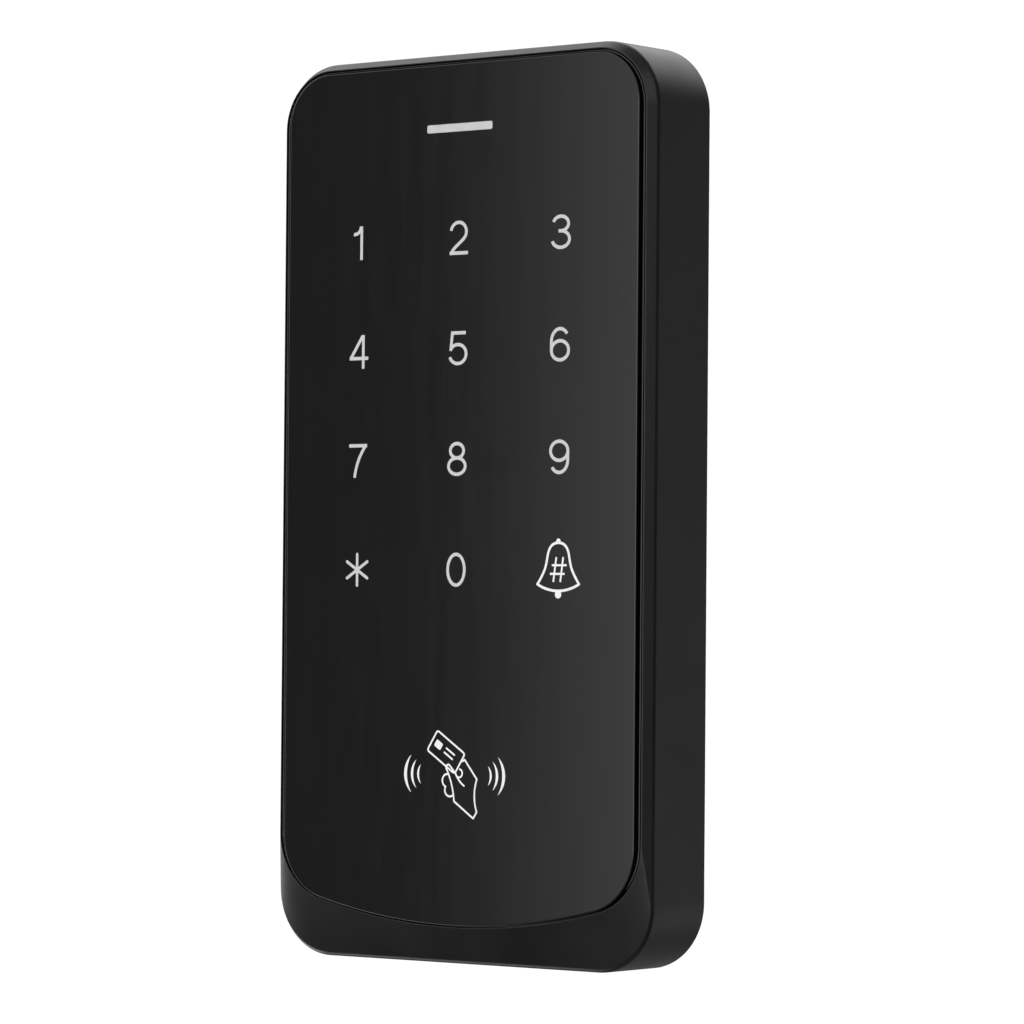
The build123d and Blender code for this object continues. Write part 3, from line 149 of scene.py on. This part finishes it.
def spread(tree, value, low, high, start=0.3, end=0.7):
    """Maps value's start..end to low..high, held at both ends."""
    limits = {"Value": value, "From Min": start, "From Max": end, "To Min": low, "To Max": high}
    return add_node(tree, "MapRange", limits).outputs["Result"]


def ramp(tree, value, *stops):
    """A colour ramp through (position, colour) stops."""
    made = add_node(tree, "ValToRGB", {"Fac": value})
    elements = made.color_ramp.elements
    while len(elements) < len(stops):
        elements.new(1.0)
    for element, (position, colour) in zip(elements, stops):
        element.position = position
        element.color = colour
    return made.outputs["Color"]


def mixed(tree, amount, first, second):
    """first where amount is 0, second where it is 1, for colours."""
    made = add_node(tree, "Mix", data_type="RGBA")
    tree.links.new(amount, made.inputs[MIX_AMOUNT])
    for socket, value in ((made.inputs[MIX_FIRST], first), (made.inputs[MIX_SECOND], second)):
        if isinstance(value, bpy.types.NodeSocket):
            tree.links.new(value, socket)
        else:
            socket.default_value = value
    return made.outputs[MIX_COLOUR]


def edge_mask(tree, radius):
    """1 along edges, out to radius metres from them, and 0 on flat faces; it marks where edge
    colour is laid, as wear and, on the black plastics, as a painted highlight.
    """
    flat = add_node(tree, "NewGeometry").outputs["Normal"]
    rounded = add_node(tree, "Bevel", {"Radius": radius}, samples=BEVEL_SAMPLES).outputs["Normal"]
    turn = add_node(tree, "VectorMath", operation="DOT_PRODUCT")
    tree.links.new(flat, turn.inputs[0])
    tree.links.new(rounded, turn.inputs[1])
    return spread(tree, turn.outputs["Value"], 1.0, 0.0, *EDGE_TURN)


def bump(tree, height, depth, under=None):
    """A bump of depth metres, over another bump where one is given."""
    inputs = {"Height": height, "Distance": depth, "Strength": 1.0}
    if under is not None:
        inputs["Normal"] = under
    return add_node(tree, "Bump", inputs).outputs["Normal"]


def shader(slot):
    """Empties the slot's material and gives back its node tree and its shader."""
    material = bpy.data.materials.get(slot) or bpy.data.materials.new(slot)
    material.use_nodes = True
    tree = material.node_tree
    tree.nodes.clear()
    surface = add_node(tree, "BsdfPrincipled")
    add_node(tree, "OutputMaterial", {"Surface": surface.outputs["BSDF"]})
    return tree, surface


def fill(tree, surface, **inputs):
    """Sets or links the shader's inputs, named with _ for a space."""
    for name, value in inputs.items():
        socket = surface.inputs[name.replace("_", " ")]
        if isinstance(value, bpy.types.NodeSocket):
            tree.links.new(value, socket)
        else:
            socket.default_value = value


def moulded(slot, dark, light, rough, grain, depth, patch=20 * MM, edge_wear_and_highlight=None):
    """Moulded plastic: faint colour patches and a spark-eroded grain. The edge argument gives a
    radius and the colour that edges within it are lightened to: partly wear and partly a painted
    highlight along the edges."""
    tree, surface = shader(slot)
    colour = ramp(tree, noise(tree, patch), (0.35, dark), (0.65, light))
    polish = spread(tree, noise(tree, patch * 0.6, 3.0), rough[0], rough[1])
    if edge_wear_and_highlight is not None:
        colour = mixed(tree, edge_mask(tree, edge_wear_and_highlight[0]), colour, edge_wear_and_highlight[1])
    coarse = bump(tree, noise(tree, grain * 3.0, 2.0), depth)
    fine = bump(tree, noise(tree, grain, 3.0), depth, coarse)
    fill(tree, surface, Base_Color=colour, Roughness=polish, Normal=fine, IOR=PLASTIC_IOR)


def metal(slot, dark, light, rough, grain, depth, stretch=(1.0, 1.0, 1.0), patch=4 * MM, edge_wear_and_highlight=None):
    """Metal: colour and polish vary in patches, with a grain that stretch draws out as rolling or
    turning does. The edge argument gives a radius and the colour that edges within it are lightened
    to, as in moulded."""
    tree, surface = shader(slot)
    colour = ramp(tree, noise(tree, patch, 3.0, stretch), (0.3, dark), (0.7, light))
    polish = spread(tree, noise(tree, patch * 0.5, 3.0, stretch), rough[0], rough[1])
    if edge_wear_and_highlight is not None:
        colour = mixed(tree, edge_mask(tree, edge_wear_and_highlight[0]), colour, edge_wear_and_highlight[1])
    lines = bump(tree, noise(tree, grain, 3.0, stretch), depth)
    fill(tree, surface, Base_Color=colour, Roughness=polish, Normal=lines, Metallic=1.0)


# ---------------------------------------------------------------- finishes

INK_MESH = 0.12 * MM
FOAM_CELL = 0.25 * MM
ZINC_CRYSTAL = 3.2 * MM
TRACK_W = 0.18 * MM
TRACK_CELL = (5.1 * MM, 1.3 * MM)


def outer_plastics():
    """The black housing and rear cover, with a fine satin grain."""
    # Lighter edge colour on the housing: partly wear, partly a painted highlight along its edges.
    moulded(
        "housing_abs", rgb(0.0034, 0.0034, 0.0040), rgb(0.0048, 0.0048, 0.0054), (0.30, 0.38),
        grain=0.16 * MM, depth=0.0016 * MM, edge_wear_and_highlight=(0.25 * MM, rgb(0.014, 0.014, 0.015)),
    )
    # The same lighter edges on the rear cover: partly wear, partly a painted highlight.
    moulded(
        "cover_abs", rgb(0.0080, 0.0080, 0.0085), rgb(0.0110, 0.0110, 0.0115), (0.50, 0.62),
        grain=0.25 * MM, depth=0.006 * MM, edge_wear_and_highlight=(0.3 * MM, rgb(0.022, 0.022, 0.023)),
    )


def panel_gloss():
    """Gloss black acrylic: almost a mirror, with a faint waviness and wiping marks."""
    tree, surface = shader("panel_gloss")
    dark, light = rgb(0.0030, 0.0030, 0.0034), rgb(0.0036, 0.0036, 0.0040)
    colour = ramp(tree, noise(tree, 30 * MM), (0.4, dark), (0.6, light))
    wiped = noise(tree, 2.2 * MM, 4.0, (1.0, 1.0, 9.0))
    polish = spread(tree, wiped, 0.075, 0.105)
    wavy = bump(tree, noise(tree, 9 * MM, 1.0), 0.0010 * MM)
    fill(tree, surface, Base_Color=colour, Roughness=polish, Normal=wavy, IOR=ACRYLIC_IOR)


def trim_gloss():
    """The thin strip round the panel: the same black, less polished."""
    # Lighter edge colour on the trim: partly wear, partly a painted highlight along its edges.
    moulded(
        "trim_gloss", grey(0.0040), grey(0.0052), (0.18, 0.26),
        grain=0.3 * MM, depth=0.0008 * MM, edge_wear_and_highlight=(0.1 * MM, grey(0.009)),
    )


def printed_inks():
    """Screen-printed legends: an even ink that keeps a faint print of the screen's mesh."""
    for slot, dark, light in (
        ("key_ink", rgb(0.54, 0.54, 0.55), rgb(0.62, 0.62, 0.63)),
        ("white_ink", rgb(0.82, 0.82, 0.81), rgb(0.90, 0.90, 0.89)),
    ):
        tree, surface = shader(slot)
        colour = ramp(tree, noise(tree, 0.22 * MM, 3.0), (0.3, dark), (0.6, light))
        mesh = bump(tree, cells(tree, INK_MESH).outputs["Distance"], 0.0015 * MM)
        polish = spread(tree, noise(tree, 0.5 * MM), 0.30, 0.42)
        fill(tree, surface, Base_Color=colour, Roughness=polish, Normal=mesh)


def status_window():
    """Frosted light bar: milky, slightly see-through plastic."""
    tree, surface = shader("window_frost")
    dark, light = rgb(0.55, 0.55, 0.57), rgb(0.62, 0.62, 0.64)
    colour = ramp(tree, noise(tree, 1.6 * MM, 3.0), (0.3, dark), (0.7, light))
    polish = spread(tree, noise(tree, 0.4 * MM), 0.38, 0.5)
    frost = bump(tree, noise(tree, 0.08 * MM, 2.0), 0.004 * MM)
    fill(tree, surface, Base_Color=colour, Roughness=polish, Normal=frost)
    fill(tree, surface, Subsurface_Weight=0.2, Subsurface_Radius=(0.6 * MM,) * 3)
    fill(tree, surface, Subsurface_Scale=1.0)


def panel_backing():
    """Foam tape, diffuser film, white frame and clear light guide behind the panel."""
    tree, surface = shader("foam_tape")
    foam = cells(tree, FOAM_CELL).outputs["Distance"]
    # The foam is darker in the pits of its cells: painted shade in the pores.
    colour = ramp(tree, foam, (0.0, grey(0.02)), (0.8, grey(0.05)))
    pores = bump(tree, foam, 0.03 * MM)
    fill(tree, surface, Base_Color=colour, Roughness=0.9, Normal=pores)
    moulded("diffuser_film", grey(0.72), grey(0.78), (0.5, 0.6), grain=0.05 * MM, depth=0.002 * MM)
    moulded("frame_white", grey(0.74), grey(0.80), (0.38, 0.5), grain=0.2 * MM, depth=0.004 * MM)
    moulded("plunger_white", grey(0.68), grey(0.76), (0.3, 0.42), grain=0.2 * MM, depth=0.003 * MM)
    tree, surface = shader("light_guide")
    dark, light = rgb(0.90, 0.94, 0.95), rgb(0.96, 0.98, 0.98)
    tint = ramp(tree, noise(tree, 3 * MM), (0.3, dark), (0.7, light))
    polish = spread(tree, noise(tree, 1 * MM), 0.05, 0.16)
    flow = bump(tree, noise(tree, 1.5 * MM), 0.004 * MM)
    fill(tree, surface, Base_Color=tint, Roughness=polish, Normal=flow)
    fill(tree, surface, Transmission_Weight=0.8, IOR=ACRYLIC_IOR)


def board_green():
    """Green solder mask over a grid of copper tracks, slightly raised and lighter."""
    tree, surface = shader("board_green")
    where = add_node(tree, "TexCoord").outputs["Object"]
    turned = add_node(tree, "Mapping", {"Vector": where, "Rotation": (pi / 2, 0.0, 0.0)})
    tracks = add_node(
        tree, "TexBrick",
        {"Vector": turned.outputs["Vector"], "Scale": 1.0,
         "Mortar Size": TRACK_W, "Mortar Smooth": 0.2,
         "Brick Width": TRACK_CELL[0], "Row Height": TRACK_CELL[1]},
    ).outputs["Fac"]
    dark, light = rgb(0.006, 0.075, 0.026), rgb(0.009, 0.095, 0.034)
    mask = ramp(tree, noise(tree, 4 * MM), (0.35, dark), (0.65, light))
    colour = mixed(tree, tracks, mask, rgb(0.022, 0.16, 0.06))
    polish = spread(tree, noise(tree, 0.8 * MM), 0.22, 0.34)
    raised = bump(tree, tracks, 0.03 * MM)
    fill(tree, surface, Base_Color=colour, Roughness=polish, Normal=raised)


def board_parts():
    """Chips, leads, coils, cans and blocks on the board."""
    metal(
        "copper", rgb(0.72, 0.34, 0.19), rgb(0.86, 0.45, 0.27), (0.22, 0.38),
        grain=0.1 * MM, depth=0.004 * MM,
    )
    metal(
        "tinned_lead", grey(0.62), grey(0.74), (0.2, 0.4),
        grain=0.15 * MM, depth=0.004 * MM, patch=1 * MM,
    )
    metal(
        "can_aluminium", grey(0.68), grey(0.78), (0.25, 0.38),
        grain=0.1 * MM, depth=0.002 * MM, stretch=(6.0, 6.0, 1.0),
    )
    metal(
        "can_steel", grey(0.50), grey(0.62), (0.18, 0.32),
        grain=0.1 * MM, depth=0.002 * MM, stretch=(6.0, 1.0, 1.0),
    )
    moulded(
        "led_body", rgb(0.80, 0.78, 0.66), rgb(0.88, 0.86, 0.76), (0.2, 0.35),
        grain=0.1 * MM, depth=0.002 * MM, patch=1 * MM,
    )
    moulded(
        "chip_black", grey(0.012), grey(0.020), (0.42, 0.6),
        grain=0.08 * MM, depth=0.004 * MM, patch=2 * MM,
    )
    moulded(
        "relay_case", rgb(0.015, 0.05, 0.16), rgb(0.02, 0.062, 0.19), (0.2, 0.32),
        grain=0.2 * MM, depth=0.002 * MM,
    )
    moulded(
        "ferrite", grey(0.030), grey(0.052), (0.5, 0.75),
        grain=0.12 * MM, depth=0.01 * MM, patch=1 * MM,
    )
    moulded(
        "ceramic_tan", rgb(0.42, 0.27, 0.15), rgb(0.52, 0.35, 0.20), (0.3, 0.5),
        grain=0.1 * MM, depth=0.004 * MM, patch=1 * MM,
    )
    moulded(
        "terminal_green", rgb(0.01, 0.16, 0.06), rgb(0.015, 0.20, 0.08), (0.3, 0.42),
        grain=0.2 * MM, depth=0.003 * MM,
    )
    moulded(
        "switch_black", grey(0.012), grey(0.018), (0.3, 0.45),
        grain=0.15 * MM, depth=0.003 * MM, patch=2 * MM,
    )


def hardware():
    """Screws, spring, seal, and the zinc-plated wall plate with its crystalline bloom."""
    metal(
        "screw_steel", grey(0.55), grey(0.68), (0.22, 0.36),
        grain=0.08 * MM, depth=0.003 * MM, patch=1 * MM, edge_wear_and_highlight=(0.1 * MM, grey(0.8)),
    )
    metal(
        "screw_black", grey(0.05), grey(0.08), (0.3, 0.45),
        grain=0.08 * MM, depth=0.003 * MM, patch=1 * MM, edge_wear_and_highlight=(0.1 * MM, grey(0.22)),
    )
    metal(
        "spring_steel", grey(0.45), grey(0.6), (0.2, 0.35),
        grain=0.06 * MM, depth=0.002 * MM, patch=0.5 * MM,
    )
    moulded(
        "seal_rubber", grey(0.010), grey(0.016), (0.6, 0.8),
        grain=0.15 * MM, depth=0.01 * MM, patch=3 * MM,
    )
    tree, surface = shader("plate_zinc")
    bloom = cells(tree, ZINC_CRYSTAL).outputs["Color"]
    tone = add_node(tree, "SeparateColor", {"Color": bloom}).outputs["Red"]
    colour = ramp(tree, tone, (0.0, rgb(0.55, 0.57, 0.59)), (1.0, rgb(0.64, 0.66, 0.67)))
    colour = mixed(tree, edge_mask(tree, 0.25 * MM), colour, rgb(0.78, 0.79, 0.80))
    rolled = bump(tree, noise(tree, 0.12 * MM, 3.0, (1.0, 1.0, 14.0)), 0.0025 * MM)
    polish = spread(tree, tone, 0.28, 0.42, 0.0, 1.0)
    fill(tree, surface, Base_Color=colour, Roughness=polish, Normal=rolled, Metallic=1.0)


# ---------------------------------------------------------------- room


# Azimuth 0 is straight in front of the reader, 90 at its right and 180 behind it. Each soft light
# lists the azimuth and elevation of its middle, the half-angles out to which it is full in each,
# and the half-angles at which it ends in each, all in degrees, and then its brightness, which is
# below zero where it darkens the room instead.
LIGHTS = (
    (-4.0, 3.0, 28.5, 7.0, 34.7, 12.0, 2.3),
    (-10.0, 54.0, 40.0, 12.0, 80.0, 32.0, 1.6),
    (-115.0, 48.0, 22.0, 12.0, 40.0, 30.0, 1.15),
    (42.0, 2.0, 4.0, 8.0, 8.0, 16.0, 2.4),
    (73.0, 28.0, 10.0, 10.0, 18.0, 32.0, 1.0),
    (-88.0, 0.0, 16.0, 30.0, 26.0, 50.0, 1.6),
    (-75.0, -42.0, 14.0, 8.0, 24.0, 16.0, 2.0),
    (142.0, -14.0, 12.0, 6.0, 22.0, 22.0, 0.35),
    (185.0, 36.0, 22.0, 8.0, 40.0, 22.0, 1.38),
    (-36.0, -30.0, 50.0, 14.0, 70.0, 24.0, -0.12),
)
# The room behind the lights: azimuth and brightness, all the way round.
ROOM_TURN = (
    (-180.0, 0.24), (-60.0, 0.20), (-36.0, 0.18), (50.0, 0.24), (66.0, 0.10),
    (92.0, 0.05), (124.0, 0.06), (134.0, 0.24), (180.0, 0.24),
)
ROOM_COLOUR = rgb(1.0, 0.997, 0.990)
BACKDROP = 1.05     # how bright the white behind the reader is to the camera


def make_room():
    """Soft light from all round, from a dim room with large soft lights. The camera sees white."""
    world = bpy.data.worlds.new("studio")
    bpy.context.scene.world = world
    world.use_nodes = True
    tree = world.node_tree
    tree.nodes.clear()

    def math(operation, *values):
        made = add_node(tree, "Math", operation=operation)
        for socket, value in zip(made.inputs, values):
            if isinstance(value, bpy.types.NodeSocket):
                tree.links.new(value, socket)
            else:
                socket.default_value = value
        return made.outputs[0]

    where = add_node(tree, "TexCoord").outputs["Generated"]
    way = add_node(tree, "SeparateXYZ", {"Vector": where}).outputs
    azimuth = math("ARCTAN2", way["X"], math("MULTIPLY", way["Y"], -1.0))
    elevation = math("ARCSINE", way["Z"])
    share = spread(tree, azimuth, 0.0, 1.0, -pi, pi)
    stops = [((angle + 180.0) / 360.0, grey(bright)) for angle, bright in ROOM_TURN]
    total = ramp(tree, share, *stops)
    for middle, height, full_turn, full_rise, end_turn, end_rise, strength in LIGHTS:
        turned = math("SUBTRACT", azimuth, radians(middle))
        wrapped = math("ABSOLUTE", math("WRAP", turned, pi, -pi))
        across = spread(tree, wrapped, 1.0, 0.0, radians(full_turn), radians(end_turn))
        risen = math("ABSOLUTE", math("SUBTRACT", elevation, radians(height)))
        along = spread(tree, risen, strength, 0.0, radians(full_rise), radians(end_rise))
        total = math("ADD", total, math("MULTIPLY", across, along))
    room = add_node(tree, "Background", {"Color": ROOM_COLOUR, "Strength": total})
    white = add_node(tree, "Background", {"Color": grey(1.0), "Strength": BACKDROP})
    seen = add_node(tree, "LightPath").outputs["Is Camera Ray"]
    shown = add_node(tree, "MixShader", {"Fac": seen})
    tree.links.new(room.outputs[0], shown.inputs[1])
    tree.links.new(white.outputs[0], shown.inputs[2])
    add_node(tree, "OutputWorld", {"Surface": shown.outputs[0]})


FLOOR_DROP = 0.16
FLOOR_RADIUS = 1.5
FLOOR_SEGMENTS = 96
FLOOR_PATCH = 0.3
FLOOR_TONES = (0.872, 0.888)
FLOOR_ROUGHNESS = 0.8


def make_floor():
    """A plain pale round floor well below the reader, which hangs on its wall plate."""
    mesh = bpy.data.meshes.new("floor")
    shape = bmesh.new()
    bmesh.ops.create_circle(shape, cap_ends=True, segments=FLOOR_SEGMENTS, radius=FLOOR_RADIUS)
    shape.to_mesh(mesh)
    shape.free()
    floor = bpy.data.objects.new("floor", mesh)
    floor.location.z = CAD_BOX[0].z - FLOOR_DROP
    bpy.context.scene.collection.objects.link(floor)
    tree, surface = shader("floor_paint")
    dark, light = (grey(tone) for tone in FLOOR_TONES)
    colour = ramp(tree, noise(tree, FLOOR_PATCH), (0.4, dark), (0.6, light))
    fill(tree, surface, Base_Color=colour, Roughness=FLOOR_ROUGHNESS)
    mesh.materials.append(bpy.data.materials["floor_paint"])
    floor.visible_glossy = False


# ---------------------------------------------------------------- spring

SPRING_TURNS = 4
SPRING_STEPS = 32
SPRING_WIRE_R = 0.15 * MM
SPRING_SIDES = 10


def make_spring():
    """The tamper switch's coil spring, wound to fill the CAD one's place; the real one shortens as
    the plunger leaves rest, this one keeps its length.
    """
    low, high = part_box("tamper_spring")
    centre = (low + high) / 2
    radius = (high.x - low.x) / 2 - SPRING_WIRE_R
    first = low.y + SPRING_WIRE_R
    length = high.y - low.y - 2 * SPRING_WIRE_R
    along = Vector((0.0, 1.0, 0.0))
    count = SPRING_TURNS * SPRING_STEPS
    angles = [2 * pi * side / SPRING_SIDES for side in range(SPRING_SIDES)]
    shape = bmesh.new()
    rings = []
    for step in range(count + 1):
        turn = 2 * pi * step / SPRING_STEPS
        out = Vector((cos(turn), 0.0, sin(turn)))
        middle = Vector((centre.x, first + length * step / count, centre.z)) + radius * out
        rings.append([
            shape.verts.new(middle + SPRING_WIRE_R * (cos(angle) * out + sin(angle) * along))
            for angle in angles
        ])
    for ring, after in zip(rings, rings[1:]):
        for side in range(SPRING_SIDES):
            other = (side + 1) % SPRING_SIDES
            shape.faces.new((ring[side], ring[other], after[other], after[side]))
    shape.faces.new(rings[0][::-1])
    shape.faces.new(rings[-1])
    bmesh.ops.recalc_face_normals(shape, faces=shape.faces)
    for face in shape.faces:
        face.smooth = len(face.verts) < SPRING_SIDES     # the two end faces stay flat
    mesh = bpy.data.meshes.new("spring_coil")
    shape.to_mesh(mesh)
    shape.free()
    spring = bpy.data.objects.new("spring_coil", mesh)
    bpy.context.scene.collection.objects.link(spring)
    mesh.materials.append(bpy.data.materials["spring_steel"])
    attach(spring, "reader")
    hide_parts("tamper_spring")
    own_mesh(spring)


# ---------------------------------------------------------------- build

outer_plastics()
panel_gloss()
trim_gloss()
printed_inks()
status_window()
panel_backing()
board_green()
board_parts()
hardware()

make_spring()
make_room()
make_floor()
make_camera()
bpy.context.scene.view_settings.view_transform = "Standard"
